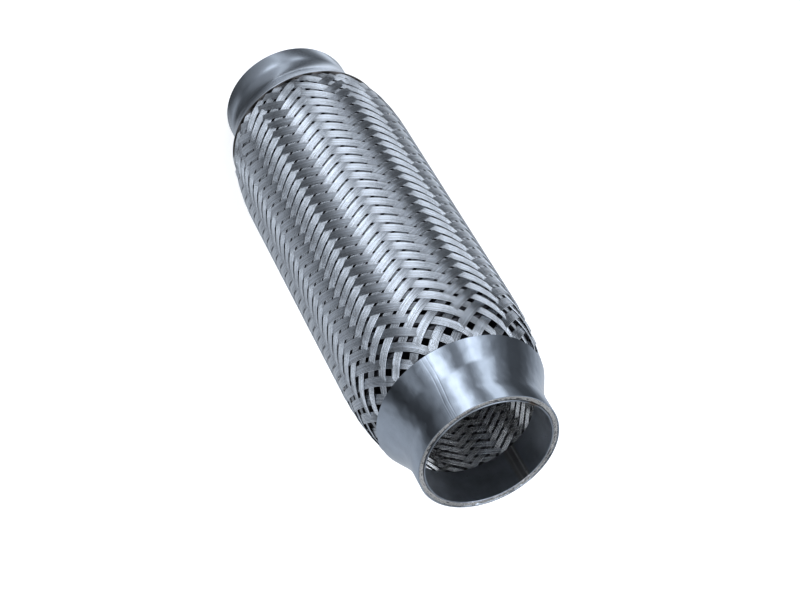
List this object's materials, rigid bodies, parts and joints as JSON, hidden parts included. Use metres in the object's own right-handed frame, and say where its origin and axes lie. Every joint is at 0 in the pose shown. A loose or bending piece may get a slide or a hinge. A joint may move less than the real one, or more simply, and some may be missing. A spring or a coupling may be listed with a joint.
{
  "type": "exhaust flex pipe",
  "caption": "Flexible exhaust coupling: a hidden metal bellows between an outer and an inner woven wire braid, gripped by a flared collar and an inner sleeve at each end.",
  "frame": {"origin": "centre of the lower rim, on the pipe's axis", "axes": "+Z along the pipe, from the lower rim to the upper rim; the pipe stands on its lower rim"},
  "size_m": [0.0688, 0.0688, 0.2032],
  "materials": {
    "cap_steel": "polished stainless steel",
    "braid_wire": "bright stainless steel wire",
    "bellows_steel": "plain stainless steel sheet",
    "inner_wire": "bright stainless steel wire",
    "sleeve_steel": "dull stainless steel sheet"
  },
  "bodies": {
    "root": {"upper_end_cap": "cap_steel", "lower_end_cap": "cap_steel", "outer_braid": "braid_wire", "bellows": "bellows_steel", "inner_braid": "inner_wire", "upper_inner_sleeve": "sleeve_steel", "lower_inner_sleeve": "sleeve_steel"}
  },
  "joints": []
}
